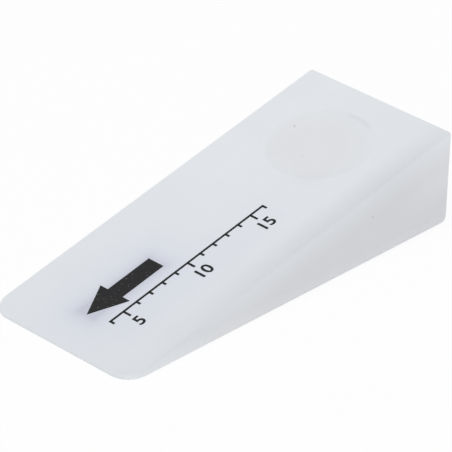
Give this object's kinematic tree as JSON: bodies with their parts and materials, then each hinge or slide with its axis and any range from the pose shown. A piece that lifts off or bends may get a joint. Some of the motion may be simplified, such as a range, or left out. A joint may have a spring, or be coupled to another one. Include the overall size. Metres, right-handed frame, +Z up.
{
  "type": "trim removal wedge",
  "caption": "Solid moulded plastic wedge with a thin round-cornered tip, a sloping upper face and a shallow thumb dish, for easing vehicle trim and panels apart.",
  "frame": {"origin": "middle of the outline on the flat underside", "axes": "+X from the thin tip to the thick end, +Y across the width, +Z up from the underside"},
  "size_m": [0.115, 0.0506, 0.0268],
  "materials": {
    "plastic": "milky white translucent moulding, satin"
  },
  "bodies": {
    "root": {"wedge": "plastic"}
  },
  "joints": []
}
